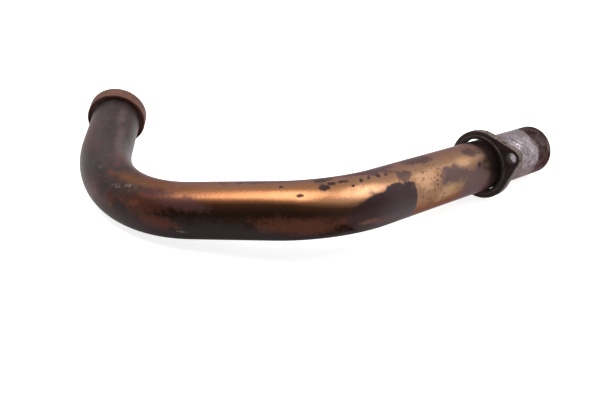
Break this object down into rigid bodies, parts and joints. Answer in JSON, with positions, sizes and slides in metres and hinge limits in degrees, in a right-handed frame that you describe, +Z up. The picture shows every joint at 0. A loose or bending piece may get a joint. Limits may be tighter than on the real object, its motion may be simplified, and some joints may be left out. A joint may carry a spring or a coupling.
{
  "type": "motorcycle exhaust header",
  "caption": "Bent steel head pipe with a welded port collar and a loose stud flange that lies on the straight outlet run.",
  "frame": {"origin": "middle of the tube's mouth inside the port collar", "axes": "+Z up as the pipe lies on a flat surface, +X along the longest extent towards the outlet, +Y towards the port side"},
  "size_m": [0.4154, 0.2125, 0.064],
  "materials": {
    "tube_steel": "heat-tinted and dull with brown, straw and purple-grey colours",
    "rusty_ring": "thin even rust over turned steel",
    "rusty_plate": "dark brown-black rust over pressed steel plate"
  },
  "bodies": {
    "root": {"head_pipe": "tube_steel", "port_collar": "rusty_ring", "stud_flange": "rusty_plate"}
  },
  "joints": []
}
